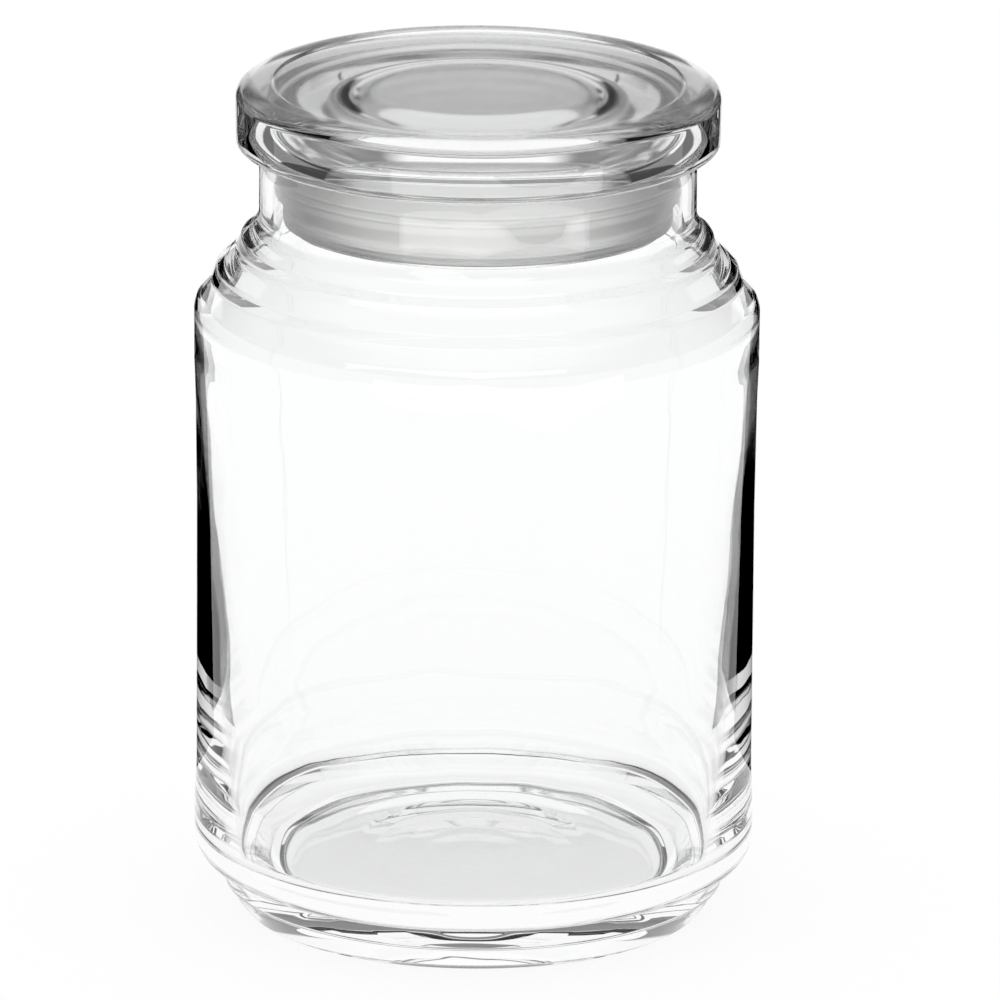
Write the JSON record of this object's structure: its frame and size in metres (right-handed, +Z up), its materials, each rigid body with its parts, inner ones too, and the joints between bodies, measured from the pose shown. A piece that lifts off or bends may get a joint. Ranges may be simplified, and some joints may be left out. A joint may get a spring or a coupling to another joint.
{
  "type": "lidded glass jar",
  "caption": "Round clear glass candy jar with a stepped shoulder, a rounded heel, and a thick flat glass lid whose hollow plug carries a ribbed plastic gasket.",
  "frame": {"origin": "centre of the base, on the surface the jar stands on", "axes": "+Z up along the jar's axis; X and Y are any two directions across it, because every piece is turned about Z"},
  "size_m": [0.1022, 0.1022, 0.154],
  "materials": {
    "jar_glass": "clear, fire-polished",
    "lid_glass": "clear, fire-polished",
    "gasket_plastic": "translucent natural polyethylene"
  },
  "bodies": {
    "root": {"jar": "jar_glass", "lid": "lid_glass", "gasket": "gasket_plastic"}
  },
  "joints": []
}
